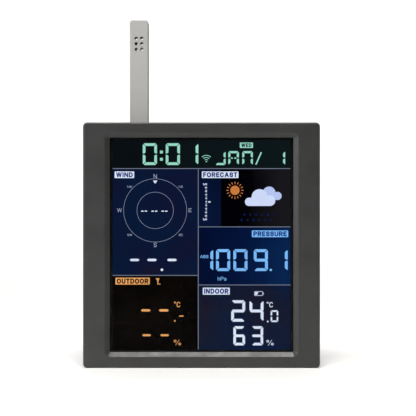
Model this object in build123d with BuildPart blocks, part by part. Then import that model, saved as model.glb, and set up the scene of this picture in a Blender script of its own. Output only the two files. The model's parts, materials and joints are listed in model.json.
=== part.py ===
from build123d import *
import os

# Desk console of a home weather station: a display in a two-part case, with a sensor arm
# that folds up from a channel in the back, a fold-out foot, a battery door and a column of keys.
#
# Units are millimetres. X runs to the viewer's right, Y away from the viewer, and Z up.
# The origin is the middle of the case's flat bottom. "depth" is always measured from the
# front face towards the back, and a centre is an (X, Z) pair.

# ---------------------------------------------------------------- driving dimensions
body_width = 140.0
body_height = 145.0
body_depth = 25.0
frame_depth = 10.0
frame_corner = 2.6
frame_edge_round = 1.1
wall = 2.0
frame_plate = 3.2
body_centre = (0, body_height / 2)

opening_width = 108.8
opening_height = 127.0
opening_centre = (0, 72.7)
opening_corner = 0.9
bevel_width = 2.7
bevel_depth = 2.1
bevel_corner = 3.4
bevel_edge_round = 0.9

window_depth = 2.6
window_thickness = 1.0
gasket_thickness = 0.6
glass_thickness = 1.1
film_thickness = 0.2
guide_thickness = 2.6
tray_floor = 1.1

cover_inset = 0.8
cover_wall = 2.4
cover_slope_width = 3.0
cover_slope_depth = 4.0
cover_corner = 3.2
lip_thickness = 1.2

arm_x = -38.0
arm_width = 11.2
arm_thickness = 8.4
arm_rise = 63.4
arm_pivot_drop = 8.5
arm_wall = 1.3
arm_corner = 1.9
arm_front_round = 0.8
arm_back_round = 0.4
vent_radius = 1.0
vent_pitch = 3.35
vent_drop = 14.4
channel_width = 12.4
channel_depth = 9.0

foot_width = 63.6
foot_length = 43.0
foot_thickness = 4.0
foot_pivot_height = 2.4
foot_pad_rise = 0.4

cell_radius = 5.25
cell_length = 43.5
cell_pitch = 11.0
bay_centre = (6, 90)
bay_width = 50.4
bay_height = 35.4
door_width = 55.0
door_height = 40.0
door_thickness = 1.8
door_corner = 1.2
door_edge_radius = 0.8

key_x = 52.0
key_lowest_z = 50.0
key_pitch = 12.6
key_names = ("set", "mode", "up", "down", "history", "light")
key_width = 9.0
key_height = 6.0
key_proud = 0.9
key_travel = 0.6
reset_centre = (52.0, 38.0)
reset_travel = 0.3

board_thickness = 1.6
case_screw_centres = [(x, z) for x in (-63, 63) for z in (9, 136)]
display_screw_centres = [(x, z) for x in (-60, 60) for z in (38, 107)]
board_screw_centres = [(-44, 14), (40, 14), (-44, 46), (52, 119)]
inlet_centre = (-52, 22)
buzzer_centre = (49, 21)
keyhole_centres = [(-18, 126), (18, 126)]

# ---------------------------------------------------------------- derived depths and places
gasket_depth = window_depth + window_thickness
front_glass_depth = gasket_depth + gasket_thickness
rear_glass_depth = front_glass_depth + glass_thickness
film_depth = rear_glass_depth + glass_thickness
guide_depth = film_depth + film_thickness
tray_back = guide_depth + guide_thickness + tray_floor + 0.1
board_depth = tray_back + 1.1
board_back = board_depth + board_thickness
cover_wall_depth = body_depth - cover_wall
arm_pivot_z = body_height - arm_pivot_drop
arm_top_z = body_height + arm_rise
arm_back = body_depth - 0.2
arm_front = arm_back - arm_thickness
arm_pivot_depth = (arm_front + arm_back) / 2
channel_floor = body_depth - channel_depth
foot_pivot_depth = body_depth - 2.2
foot_recess_depth = foot_pivot_depth - foot_thickness / 2 - 0.25
bay_floor = tray_back + 0.4
cell_depth = bay_floor + 1.2 + 0.2 + cell_radius
door_depth = body_depth - door_thickness
bay_x, bay_z = bay_centre
door_bottom = bay_z - door_height / 2
door_pivot_depth = body_depth - door_thickness / 2
door_pivot_z = door_bottom + door_thickness / 2
hook_centres = [bay_x - 17, bay_x + 17]
key_centres = [(key_x, key_lowest_z + key_pitch * n) for n in range(len(key_names))]
vent_centres = [
    (arm_x + vent_pitch * column, arm_top_z - vent_drop + vent_pitch * row)
    for column in (-0.5, 0.5)
    for row in (-1, 0, 1)
]


# ---------------------------------------------------------------- helpers
def layer(depth):
    """The plane parallel to the front face at this depth, drawn in X and Z."""
    return Plane.XZ.offset(body_depth / 2 - depth)


def y_at(depth):
    """The Y coordinate of a depth behind the front face."""
    return depth - body_depth / 2


def slab(near, far, width, height, centre, corner=0.0, mode=Mode.ADD):
    """Adds or cuts a rectangular slab that runs from one depth back to another."""
    with BuildSketch(layer(near)) as outline:
        with Locations(centre):
            if corner:
                RectangleRounded(width, height, corner)
            else:
                Rectangle(width, height)
    extrude(outline.sketch, amount=near - far, mode=mode)


def posts(near, far, radius, centres, mode=Mode.ADD):
    """Adds or cuts a round post at each centre, from one depth back to another."""
    with BuildSketch(layer(near)) as outline:
        with Locations(*centres):
            Circle(radius)
    extrude(outline.sketch, amount=near - far, mode=mode)


def cross_rod(start_x, end_x, radius, depth, z, mode=Mode.ADD):
    """Adds or cuts a rod along X between two X coordinates."""
    with BuildSketch(Plane.YZ.offset(start_x)) as outline:
        with Locations((y_at(depth), z)):
            Circle(radius)
    extrude(outline.sketch, amount=end_x - start_x, mode=mode)


def wire(points, bend_radius, radius):
    """A round lead along straight runs with rounded corners."""
    with BuildPart() as lead:
        with BuildLine() as route:
            FilletPolyline(*points, radius=bend_radius)
        with BuildSketch(Plane(route.line @ 0, z_dir=route.line % 0)):
            Circle(radius)
        sweep(path=route.line)
    return lead


# ---------------------------------------------------------------- front frame
with BuildPart() as front_frame:
    slab(0, frame_depth, body_width, body_height, body_centre, frame_corner)
    fillet(faces().sort_by(Axis.Y)[0].edges(), frame_edge_round)
    slab(
        frame_plate,
        frame_depth,
        body_width - 2 * wall,
        body_height - 2 * wall,
        body_centre,
        1.0,
        Mode.SUBTRACT,
    )
    # The surround slopes in to the display opening.
    with BuildSketch(layer(0)):
        with Locations(opening_centre):
            RectangleRounded(
                opening_width + 2 * bevel_width,
                opening_height + 2 * bevel_width,
                bevel_corner,
            )
    with BuildSketch(layer(bevel_depth)):
        with Locations(opening_centre):
            RectangleRounded(opening_width, opening_height, opening_corner)
    loft(ruled=True, mode=Mode.SUBTRACT)
    fillet(faces().sort_by(Axis.Y)[0].inner_wires()[0].edges(), bevel_edge_round)
    slab(
        bevel_depth,
        frame_plate,
        opening_width,
        opening_height,
        opening_centre,
        opening_corner,
        Mode.SUBTRACT,
    )
    slab(
        window_depth,
        frame_plate,
        opening_width + 4.4,
        opening_height + 4.4,
        opening_centre,
        1.0,
        Mode.SUBTRACT,
    )
    posts(frame_plate, 11.0, 3.2, case_screw_centres)
    posts(4.4, 11.0, 1.1, case_screw_centres, Mode.SUBTRACT)
    posts(frame_plate, tray_back - tray_floor, 2.4, display_screw_centres)
    posts(4.4, tray_back - tray_floor, 0.8, display_screw_centres, Mode.SUBTRACT)

# ---------------------------------------------------------------- display stack
with BuildPart() as display_window:
    slab(window_depth, gasket_depth, opening_width + 4, opening_height + 4, opening_centre, 0.8)

with BuildPart() as window_gasket:
    slab(gasket_depth, front_glass_depth, opening_width + 4, opening_height + 4, opening_centre, 0.8)
    slab(
        gasket_depth,
        front_glass_depth,
        opening_width + 0.4,
        opening_height + 0.4,
        opening_centre,
        0.8,
        Mode.SUBTRACT,
    )

glass_width = 111.0
glass_top = 138.0
front_glass_bottom = 4.2
rear_glass_bottom = 8.4

with BuildPart() as lcd_front_glass:
    slab(
        front_glass_depth,
        rear_glass_depth,
        glass_width,
        glass_top - front_glass_bottom,
        (0, (glass_top + front_glass_bottom) / 2),
    )

with BuildPart() as lcd_rear_glass:
    slab(
        rear_glass_depth,
        film_depth,
        glass_width,
        glass_top - rear_glass_bottom,
        (0, (glass_top + rear_glass_bottom) / 2),
    )

# The printed colour film, the light guide and the row of LEDs lie inside the tray's rim.
tray_width = 114.0
tray_bottom = 8.0
tray_top = 139.4
tray_height = tray_top - tray_bottom
tray_centre = (0, (tray_top + tray_bottom) / 2)
tray_rim = 1.0
led_strip_width = 2.2

with BuildPart() as colour_film:
    slab(film_depth, guide_depth, 108, tray_height - 2 * tray_rim - 0.4, (1.4, tray_centre[1]))

with BuildPart() as light_guide:
    slab(
        guide_depth,
        guide_depth + guide_thickness,
        tray_width - 2 * tray_rim - led_strip_width - 0.2,
        tray_height - 2 * tray_rim - 0.4,
        (led_strip_width / 2, tray_centre[1]),
    )

with BuildPart() as backlight_tray:
    slab(film_depth, tray_back, tray_width, tray_height, tray_centre, 1.0)
    slab(
        film_depth,
        tray_back - tray_floor,
        tray_width - 2 * tray_rim,
        tray_height - 2 * tray_rim,
        tray_centre,
        mode=Mode.SUBTRACT,
    )
    # Screw ears at the sides, and standoffs for the main board on the back.
    for ear_x, ear_z in display_screw_centres:
        inward = -1.6 if ear_x > 0 else 1.6
        slab(tray_back - tray_floor, tray_back, 5.6, 4.8, (ear_x + inward / 2, ear_z), 2.3)
        slab(tray_back - tray_floor, tray_back, 3.4, 4.8, (ear_x + inward, ear_z))
    posts(tray_back - tray_floor, tray_back, 1.1, display_screw_centres, Mode.SUBTRACT)
    posts(tray_back, board_depth, 2.2, board_screw_centres)
    posts(tray_back - 0.8, board_depth, 0.8, board_screw_centres, Mode.SUBTRACT)

with BuildPart() as backlight_leds:
    strip_x = -tray_width / 2 + tray_rim + 0.1 + 0.5
    slab(guide_depth + 0.1, guide_depth + 2.5, 1.0, 120, (strip_x, tray_centre[1]))
    for led in range(6):
        led_z = tray_centre[1] + 21 * (led - 2.5)
        slab(guide_depth + 0.4, guide_depth + 2.0, 0.9, 3.5, (strip_x + 0.95, led_z))

with BuildPart() as zebra_strip:
    slab(rear_glass_depth, board_depth, 98, 2.6, (0, 6.2), 0.4)

with BuildPart() as display_screws:
    posts(tray_back, tray_back + 1.1, 1.9, display_screw_centres)
    posts(tray_back - 4.8, tray_back, 0.78, display_screw_centres)

# ---------------------------------------------------------------- electronics
column_left = 44.0
board_right = 57.5
board_bottom = 4.0
strip_top = 52.0

with BuildPart() as main_board:
    strip_height = strip_top - board_bottom
    slab(board_depth, board_back, 2 * board_right, strip_height, (0, board_bottom + strip_height / 2))
    slab(
        board_depth,
        board_back,
        board_right - column_left,
        80,
        ((board_right + column_left) / 2, 84),
    )
    posts(board_depth, board_back, 1.1, board_screw_centres, Mode.SUBTRACT)

with BuildPart() as board_screws:
    posts(board_back, board_back + 1.2, 1.9, board_screw_centres)
    posts(board_back - 3.0, board_back, 0.78, board_screw_centres)

with BuildPart() as controller_cover:
    # The bare chip is sealed under a low dome of resin.
    posts(board_back, board_back + 1.5, 8.0, [(2, 28)])
    fillet(faces().sort_by(Axis.Y)[-1].edges(), 1.3)

with BuildPart() as wifi_module:
    slab(board_back, board_back + 0.8, 18, 25, (-24, 28), 0.4)
    slab(board_back + 0.8, board_back + 3.2, 15.4, 17.6, (-24, 25), 0.6)

with BuildPart() as radio_module:
    slab(board_back, board_back + 0.8, 14, 17, (26, 32), 0.4)
    slab(board_back + 0.8, board_back + 2.4, 9, 10, (26, 31), 0.5)

with BuildPart() as barometer:
    slab(board_back, board_back + 1.0, 3.8, 3.6, (-40, 38), 0.3)
    posts(board_back + 1.0, board_back + 1.2, 0.9, [(-40, 38)])

with BuildPart() as buzzer:
    posts(board_back, board_back + 6.5, 6.0, [buzzer_centre])
    posts(board_back + 5.0, board_back + 6.5, 1.2, [buzzer_centre], Mode.SUBTRACT)

with BuildPart() as dc_socket:
    slab(board_back, cover_wall_depth - 0.3, 9.6, 11.0, inlet_centre, 0.6)
    posts(cover_wall_depth - 0.3, body_depth - 0.5, 4.1, [inlet_centre])
    posts(board_back + 1.2, body_depth - 0.5, 2.8, [inlet_centre], Mode.SUBTRACT)

with BuildPart() as dc_socket_pin:
    posts(board_back + 1.2, body_depth - 2.4, 1.0, [inlet_centre])
    fillet(faces().sort_by(Axis.Y)[-1].edges(), 0.6)

switch_back = board_back + 3.4
plunger_back = switch_back + 1.5
switch_centres = key_centres + [reset_centre]

with BuildPart() as key_switches:
    for centre in switch_centres:
        slab(board_back, switch_back, 6.0, 6.0, centre, 0.4)
    posts(switch_back - 2.0, switch_back, 1.8, switch_centres, Mode.SUBTRACT)

# A quarter-wave wire stands beside the battery bay.
radio_antenna = wire(
    [
        (40.0, y_at(board_back), 46.0),
        (40.0, y_at(board_back + 2.2), 46.0),
        (40.0, y_at(board_back + 2.2), 124.0),
    ],
    1.5,
    0.5,
)

# ---------------------------------------------------------------- rear cover
cover_width = body_width - 2 * cover_inset
cover_height = body_height - cover_inset
cover_centre = (0, cover_height / 2)
slope_start = body_depth - cover_slope_depth
recess_top = foot_length + foot_pivot_height + 1.6
channel_bottom = arm_pivot_z - (arm_top_z - arm_pivot_z) - 0.8
plate_centre = (7, 59)
plate_size = (46, 11)

with BuildPart() as rear_cover:
    slab(frame_depth, slope_start, cover_width, cover_height, cover_centre, cover_corner)
    # The sides and the top slope in towards the back, and the bottom stays flat.
    with BuildSketch(layer(slope_start)):
        with Locations(cover_centre):
            RectangleRounded(cover_width, cover_height, cover_corner)
    with BuildSketch(layer(body_depth)):
        with Locations((0, (cover_height - cover_slope_width) / 2)):
            RectangleRounded(
                cover_width - 2 * cover_slope_width,
                cover_height - cover_slope_width,
                cover_corner,
            )
    loft(ruled=True)
    fillet(faces().sort_by(Axis.Y)[-1].edges(), 0.8)
    slab(
        frame_depth,
        cover_wall_depth - 1.6,
        cover_width - 2 * cover_wall,
        cover_height - 2 * cover_wall,
        cover_centre,
        1.0,
        Mode.SUBTRACT,
    )
    slab(
        cover_wall_depth - 1.6,
        cover_wall_depth,
        cover_width - 2 * (cover_wall + 1.6),
        cover_height - 2 * cover_wall - 1.6,
        (0, cover_height / 2 - 0.8),
        1.0,
        Mode.SUBTRACT,
    )
    # A lip that fits inside the front frame.
    lip_width = body_width - 2 * wall - 0.4
    lip_height = body_height - 2 * wall - 0.4
    slab(8.0, 12.6, lip_width, lip_height, body_centre, 0.9)
    slab(
        8.0,
        12.6,
        lip_width - 2 * lip_thickness,
        lip_height - 2 * lip_thickness,
        body_centre,
        0.5,
        Mode.SUBTRACT,
    )
    # Screw pillars, each with a deep well for the screw's head.
    posts(11.0, 18.2, 3.2, case_screw_centres)
    posts(18.2, cover_wall_depth + 0.4, 4.2, case_screw_centres)
    # Walls around the arm's channel, the foot's recess and the battery bay.
    slab(
        channel_floor - 1.8,
        cover_wall_depth + 0.2,
        channel_width + 3.6,
        cover_height - 2.0 - (channel_bottom - 2.0),
        (arm_x, (cover_height - 2.0 + channel_bottom - 2.0) / 2),
    )
    cross_rod(arm_x - 9.6, arm_x + 9.6, 3.0, arm_pivot_depth, arm_pivot_z)
    slab(
        19.4,
        cover_wall_depth + 0.2,
        25.0,
        17.0,
        (arm_x, channel_bottom - 0.5),
        2.0,
    )
    slab(
        foot_recess_depth - 1.6,
        cover_wall_depth + 0.2,
        foot_width + 8.0,
        recess_top,
        (0, cover_wall - 0.2 + recess_top / 2),
    )
    slab(bay_floor, cover_wall_depth + 0.2, bay_width + 2.8, bay_height + 2.8, bay_centre)
    slab(
        door_depth - 1.6,
        cover_wall_depth + 0.2,
        door_width + 4.0,
        door_height + 12.0,
        (bay_x, bay_z + 1.0),
    )
    # Cut the channel, with a scoop at its lower end to lift the arm by.
    slab(
        channel_floor,
        body_depth,
        channel_width,
        body_height - channel_bottom,
        (arm_x, (body_height + channel_bottom) / 2),
        mode=Mode.SUBTRACT,
    )
    slab(
        body_depth - 3.4,
        body_depth,
        21.0,
        12.0,
        (arm_x, channel_bottom - 0.5),
        5.0,
        Mode.SUBTRACT,
    )
    cross_rod(arm_x - 10, arm_x + 10, 1.51, arm_pivot_depth, arm_pivot_z, Mode.SUBTRACT)
    # Cut the foot's recess, open at the bottom.
    slab(
        foot_recess_depth,
        body_depth,
        foot_width + 0.8,
        recess_top,
        (0, recess_top / 2),
        mode=Mode.SUBTRACT,
    )
    for side in (-1, 1):
        inner_x = side * (foot_width / 2)
        cross_rod(inner_x, inner_x + side * 2.6, 1.01, foot_pivot_depth, foot_pivot_height, Mode.SUBTRACT)
    # Cut the battery bay, the ledge that the door lies on, and the slots for its hooks and catch.
    slab(bay_floor + 1.2, body_depth, bay_width, bay_height, bay_centre, mode=Mode.SUBTRACT)
    slab(
        door_depth,
        body_depth,
        door_width + 0.5,
        door_height + 0.5,
        bay_centre,
        1.4,
        Mode.SUBTRACT,
    )
    slab(
        door_depth,
        body_depth,
        14.0,
        9.0,
        (bay_x, bay_z + door_height / 2 + 1.0),
        2.0,
        Mode.SUBTRACT,
    )
    for hook_x in hook_centres:
        slab(
            door_depth - 2.4,
            body_depth - 0.6,
            6.6,
            5.0,
            (hook_x, door_bottom),
            mode=Mode.SUBTRACT,
        )
    # Openings for the keys, the reset pin, the power plug, sound and air.
    for centre in key_centres:
        slab(
            cover_wall_depth,
            body_depth,
            key_width + 0.5,
            key_height + 0.5,
            centre,
            (key_height + 0.5) / 2 - 0.01,
            Mode.SUBTRACT,
        )
    posts(cover_wall_depth, body_depth, 0.9, [reset_centre], Mode.SUBTRACT)
    posts(cover_wall_depth, body_depth, 4.3, [inlet_centre], Mode.SUBTRACT)
    with BuildSketch(layer(cover_wall_depth)) as sound_holes:
        with Locations(buzzer_centre):
            Circle(0.8)
            with PolarLocations(3.4, 6):
                Circle(0.8)
    extrude(sound_holes.sketch, amount=-cover_wall, mode=Mode.SUBTRACT)
    for row in range(6):
        slab(
            cover_wall_depth,
            body_depth,
            12.0,
            1.4,
            (-57.0, 92.0 + 4.0 * row),
            0.69,
            Mode.SUBTRACT,
        )
    # Keyholes to hang the console on two wall screws.
    posts(cover_wall_depth, body_depth, 4.0, keyhole_centres, Mode.SUBTRACT)
    for keyhole_x, keyhole_z in keyhole_centres:
        slab(
            cover_wall_depth,
            body_depth,
            3.8,
            9.0,
            (keyhole_x, keyhole_z + 3.6),
            1.89,
            Mode.SUBTRACT,
        )
    slab(body_depth - 0.3, body_depth, *plate_size, plate_centre, 1.0, Mode.SUBTRACT)
    # Screw wells and clearance holes.
    posts(11.0, body_depth, 1.45, case_screw_centres, Mode.SUBTRACT)
    posts(19.5, body_depth, 2.9, case_screw_centres, Mode.SUBTRACT)

with BuildPart() as case_screws:
    posts(19.5, 21.3, 2.5, case_screw_centres)
    fillet(faces().sort_by(Axis.Y)[-1].edges(), 0.5)
    for centre in case_screw_centres:
        slab(20.3, 21.3, 3.2, 0.7, centre, mode=Mode.SUBTRACT)
        slab(20.3, 21.3, 0.7, 3.2, centre, mode=Mode.SUBTRACT)
    posts(5.0, 19.5, 1.08, case_screw_centres)

with BuildPart() as rating_plate:
    slab(body_depth - 0.3, body_depth - 0.1, plate_size[0] - 0.6, plate_size[1] - 0.6, plate_centre, 0.8)

# ---------------------------------------------------------------- batteries and contacts
cell_centres = [bay_z + cell_pitch * n for n in (1, 0, -1)]
cell_start = bay_x - cell_length / 2 + 0.8


def battery(z, faces_right):
    """A cylindrical cell along X, with its positive button at one end."""
    button = 1.0
    with BuildPart() as cell:
        cross_rod(cell_start, cell_start + cell_length - button, cell_radius, cell_depth, z)
        fillet(edges().filter_by(GeomType.CIRCLE), 0.5)
        cross_rod(cell_start + cell_length - button, cell_start + cell_length, 1.9, cell_depth, z)
    if faces_right:
        return cell
    turned = mirror(cell.part, Plane.YZ.offset(cell_start + cell_length / 2), mode=Mode.PRIVATE)
    with BuildPart() as flipped:
        add(turned)
    return flipped


battery_upper = battery(cell_centres[0], True)
battery_middle = battery(cell_centres[1], False)
battery_lower = battery(cell_centres[2], True)

bay_left = bay_x - bay_width / 2
bay_right = bay_x + bay_width / 2
cell_end = cell_start + cell_length

with BuildPart() as battery_springs:
    # Conical springs press on the flat end of each cell.
    for number, z in enumerate(cell_centres):
        from_left = number != 1
        near_x = bay_left + 0.5 if from_left else bay_right - 0.5
        far_x = cell_start - 0.1 if from_left else cell_end + 0.1
        with BuildSketch(Plane.YZ.offset(near_x)) as wide_end:
            with Locations((y_at(cell_depth), z)):
                Circle(3.6)
                Circle(2.9, mode=Mode.SUBTRACT)
        with BuildSketch(Plane.YZ.offset(far_x)) as narrow_end:
            with Locations((y_at(cell_depth), z)):
                Circle(2.2)
                Circle(1.5, mode=Mode.SUBTRACT)
        loft([wide_end.sketch.faces()[0], narrow_end.sketch.faces()[0]], ruled=True)

with BuildPart() as battery_plates:
    for plate_x in (bay_left + 0.25, bay_right - 0.25):
        with BuildSketch(Plane.YZ.offset(plate_x)) as plates:
            for z in cell_centres:
                with Locations((y_at(cell_depth), z)):
                    Rectangle(9.0, 9.6)
        extrude(plates.sketch, amount=0.25, both=True)


def battery_lead(x):
    """A lead from the lower wall of the bay down to the main board."""
    lead_depth = board_back + 2.4
    wall_bottom = bay_z - bay_height / 2 - 1.4
    return wire(
        [
            (x, y_at(lead_depth + 1.6), wall_bottom),
            (x, y_at(lead_depth + 1.6), wall_bottom - 3.0),
            (x, y_at(lead_depth), wall_bottom - 7.0),
            (x, y_at(lead_depth), 49.0),
            (x, y_at(board_back), 49.0),
        ],
        1.2,
        0.6,
    )


battery_lead_red = battery_lead(bay_right - 4)
battery_lead_black = battery_lead(bay_right - 9)

# ---------------------------------------------------------------- battery door
with BuildPart() as battery_door:
    # The lower edge is a half round that the door turns on.
    slab(door_depth, body_depth, door_width, door_height, bay_centre, door_corner)
    slab(
        door_depth,
        body_depth,
        door_width,
        2 * (door_pivot_z - door_bottom),
        (bay_x, door_bottom),
        mode=Mode.SUBTRACT,
    )
    cross_rod(
        bay_x - door_width / 2 + door_corner,
        bay_x + door_width / 2 - door_corner,
        door_edge_radius,
        door_pivot_depth,
        door_pivot_z,
    )
    slab(
        door_depth,
        body_depth,
        12.0,
        5.0,
        (bay_x, bay_z + door_height / 2 + 1.3),
        1.4,
    )
    # Grip ribs across the catch end.
    for rib in range(4):
        slab(
            body_depth - 0.4,
            body_depth,
            12.0,
            0.8,
            (bay_x, bay_z + door_height / 2 - 2.6 - 1.9 * rib),
            0.39,
            Mode.SUBTRACT,
        )
    for hook_x in hook_centres:
        slab(door_depth - 1.0, door_depth + 0.6, 6.0, 3.6, (hook_x, door_bottom + 0.5))

with BuildPart() as door_cushion:
    slab(cell_depth + cell_radius + 0.05, door_depth, 30, 24, bay_centre, 1.5)

# ---------------------------------------------------------------- sensor arm
arm_lid_thickness = 1.2
arm_lid_top = arm_top_z - arm_wall
arm_lid_bottom = arm_pivot_z + 6.0
arm_lid_centre = (arm_x, (arm_lid_top + arm_lid_bottom) / 2)
arm_lid_height = arm_lid_top - arm_lid_bottom
arm_lid_width = arm_width - 2 * arm_wall
arm_cavity_front = arm_front + arm_wall
arm_lid_depth = arm_back - arm_lid_thickness
lead_way_x = arm_x + 2.9

with BuildPart() as arm_shell:
    arm_height = arm_top_z - arm_pivot_z
    with BuildSketch(layer(arm_front)) as arm_outline:
        with Locations((arm_x, arm_pivot_z + arm_height / 2)):
            Rectangle(arm_width, arm_height)
        fillet(vertices().group_by(Axis.Y)[-1], arm_corner)
    extrude(arm_outline.sketch, amount=-arm_thickness)
    # The front edges are rounder than the back ones.
    fillet(faces().sort_by(Axis.Y)[0].edges().sort_by(Axis.Z)[1:], arm_front_round)
    fillet(faces().sort_by(Axis.Y)[-1].edges().sort_by(Axis.Z)[1:], arm_back_round)
    cross_rod(arm_x - arm_width / 2, arm_x + arm_width / 2, arm_thickness / 2, arm_pivot_depth, arm_pivot_z)
    # Hollow, with a stepped seat for the lid and a way down for the lead.
    slab(
        arm_cavity_front,
        arm_back,
        arm_lid_width,
        arm_lid_height,
        arm_lid_centre,
        1.0,
        Mode.SUBTRACT,
    )
    slab(
        arm_lid_depth,
        arm_back,
        arm_lid_width + 0.8,
        arm_lid_height + 0.8,
        arm_lid_centre,
        1.3,
        Mode.SUBTRACT,
    )
    cross_rod(arm_x - 6, arm_x + 6, 1.56, arm_pivot_depth, arm_pivot_z, Mode.SUBTRACT)
    with BuildSketch(Plane.XY.offset(arm_pivot_z)) as lead_way:
        with Locations((lead_way_x, y_at(arm_pivot_depth))):
            Circle(0.9)
    extrude(lead_way.sketch, amount=8, mode=Mode.SUBTRACT)
    posts(arm_front, arm_back, vent_radius, vent_centres, Mode.SUBTRACT)
    posts(arm_cavity_front, arm_lid_depth, 1.6, [(arm_x, arm_pivot_z + 9.0)])
    posts(arm_cavity_front + 1.0, arm_lid_depth, 0.7, [(arm_x, arm_pivot_z + 9.0)], Mode.SUBTRACT)

with BuildPart() as arm_cover:
    slab(
        arm_lid_depth,
        arm_back,
        arm_lid_width + 0.6,
        arm_lid_height + 0.6,
        arm_lid_centre,
        1.2,
    )
    posts(arm_lid_depth, arm_back, vent_radius, vent_centres, Mode.SUBTRACT)
    posts(arm_lid_depth, arm_back, 0.9, [(arm_x, arm_pivot_z + 9.0)], Mode.SUBTRACT)
    posts(arm_back - 0.7, arm_back, 1.7, [(arm_x, arm_pivot_z + 9.0)], Mode.SUBTRACT)

with BuildPart() as arm_screw:
    posts(arm_back - 0.7, arm_back - 0.1, 1.5, [(arm_x, arm_pivot_z + 9.0)])
    slab(arm_back - 0.4, arm_back - 0.1, 2.0, 0.4, (arm_x, arm_pivot_z + 9.0), mode=Mode.SUBTRACT)
    posts(arm_lid_depth - 3.0, arm_back - 0.7, 0.68, [(arm_x, arm_pivot_z + 9.0)])

arm_board_depth = arm_cavity_front + 2.2
arm_board_back = arm_board_depth + 0.8
arm_board_top = arm_top_z - vent_drop - vent_pitch - vent_radius - 0.6

with BuildPart() as arm_board:
    arm_board_height = 38.0
    slab(
        arm_board_depth,
        arm_board_back,
        arm_lid_width - 0.6,
        arm_board_height,
        (arm_x, arm_board_top - arm_board_height / 2),
        0.4,
    )
    # A narrow tongue carries the humidity element up behind the left-hand vents.
    slab(
        arm_board_depth,
        arm_board_back,
        2.4,
        6.0,
        (arm_x - vent_pitch / 2 - 1.0, arm_board_top + 2.4),
    )

with BuildPart() as humidity_sensor:
    slab(
        arm_board_depth - 0.9,
        arm_board_depth,
        2.4,
        2.4,
        (arm_x - vent_pitch / 2 - 0.8, arm_top_z - vent_drop),
        0.2,
    )

# The lead runs down past the screw boss and into the hollow knuckle.
arm_lead_depth = arm_board_back + 1.6
arm_lead = wire(
    [
        (arm_x + 1.0, y_at(arm_board_back), arm_board_top - 34.0),
        (arm_x + 1.0, y_at(arm_lead_depth), arm_board_top - 34.0),
        (lead_way_x, y_at(arm_lead_depth), arm_board_top - 39.0),
        (lead_way_x, y_at(arm_pivot_depth), arm_board_top - 42.0),
        (lead_way_x, y_at(arm_pivot_depth), arm_pivot_z + 2.2),
    ],
    0.8,
    0.5,
)

# ---------------------------------------------------------------- arm hinge
with BuildPart() as arm_hinge_pin:
    cross_rod(arm_x - 9.6, arm_x + 9.6, 1.5, arm_pivot_depth, arm_pivot_z)
    cross_rod(arm_x - 9.6, arm_x + 9.6, 0.9, arm_pivot_depth, arm_pivot_z, Mode.SUBTRACT)

with BuildPart() as hinge_washers:
    # Friction washers between the arm and the sides of its channel.
    for side in (-1, 1):
        near_x = arm_x + side * (arm_width / 2 + 0.05)
        cross_rod(near_x, near_x + side * 0.5, 3.6, arm_pivot_depth, arm_pivot_z)
    cross_rod(arm_x - 8, arm_x + 8, 1.56, arm_pivot_depth, arm_pivot_z, Mode.SUBTRACT)

sensor_lead = wire(
    [
        (arm_x + 3.0, y_at(arm_pivot_depth), arm_pivot_z),
        (arm_x + 14.0, y_at(arm_pivot_depth), arm_pivot_z),
        (arm_x + 14.0, y_at(board_back) + 3.2, arm_pivot_z - 10.0),
        (arm_x + 10.6, y_at(board_back) + 3.2, 60.0),
        (arm_x + 10.6, y_at(board_back) + 3.2, 49.0),
        (arm_x + 10.6, y_at(board_back), 49.0),
    ],
    1.6,
    0.8,
)

# ---------------------------------------------------------------- fold-out foot, lying open
foot_axis_y = y_at(foot_pivot_depth)
foot_tip_y = foot_axis_y + foot_length
foot_bottom = foot_pivot_height - foot_thickness / 2
foot_top = foot_pivot_height + foot_thickness / 2
foot_mid_y = (foot_axis_y + foot_tip_y) / 2
pad_centres = [(x, foot_tip_y - 7.0) for x in (-23, 23)]

with BuildPart() as foot_plate:
    with BuildSketch(Plane.XY.offset(foot_bottom)) as foot_outline:
        with Locations((0, foot_mid_y)):
            Rectangle(foot_width, foot_length)
        fillet(vertices().group_by(Axis.Y)[-1], 3.0)
        # A notch at the tip gives a fingernail something to pull.
        with Locations((0, foot_tip_y + 1.5)):
            SlotOverall(20, 9, mode=Mode.SUBTRACT)
    extrude(foot_outline.sketch, amount=foot_thickness)
    cross_rod(-foot_width / 2, foot_width / 2, foot_thickness / 2, foot_pivot_depth, foot_pivot_height)
    # The upper face is cored out between ribs.
    with BuildSketch(Plane.XY.offset(foot_top)) as coring:
        with Locations((0, foot_mid_y - 1.5)):
            with GridLocations(19.6, 0, 3, 1):
                RectangleRounded(17.6, 28.0, 1.2)
    extrude(coring.sketch, amount=-2.2, mode=Mode.SUBTRACT)
    with BuildSketch(Plane.XY.offset(foot_bottom)) as pad_seats:
        with Locations(*pad_centres):
            RectangleRounded(12.4, 6.4, 1.6)
    extrude(pad_seats.sketch, amount=0.5, mode=Mode.SUBTRACT)
    for side in (-1, 1):
        inner_x = side * (foot_width / 2 - 10)
        cross_rod(inner_x, side * foot_width / 2, 1.06, foot_pivot_depth, foot_pivot_height, Mode.SUBTRACT)

with BuildPart() as foot_pads:
    with BuildSketch(Plane.XY.offset(foot_bottom - foot_pad_rise)) as pad_outlines:
        with Locations(*pad_centres):
            RectangleRounded(12.0, 6.0, 1.4)
    extrude(pad_outlines.sketch, amount=foot_pad_rise + 0.5)

with BuildPart() as foot_hinge_pins:
    for side in (-1, 1):
        inner_x = side * (foot_width / 2 - 9.6)
        cross_rod(inner_x, side * (foot_width / 2 + 2.4), 1.0, foot_pivot_depth, foot_pivot_height)


# ---------------------------------------------------------------- keys
flange_back = cover_wall_depth - 0.15


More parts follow.
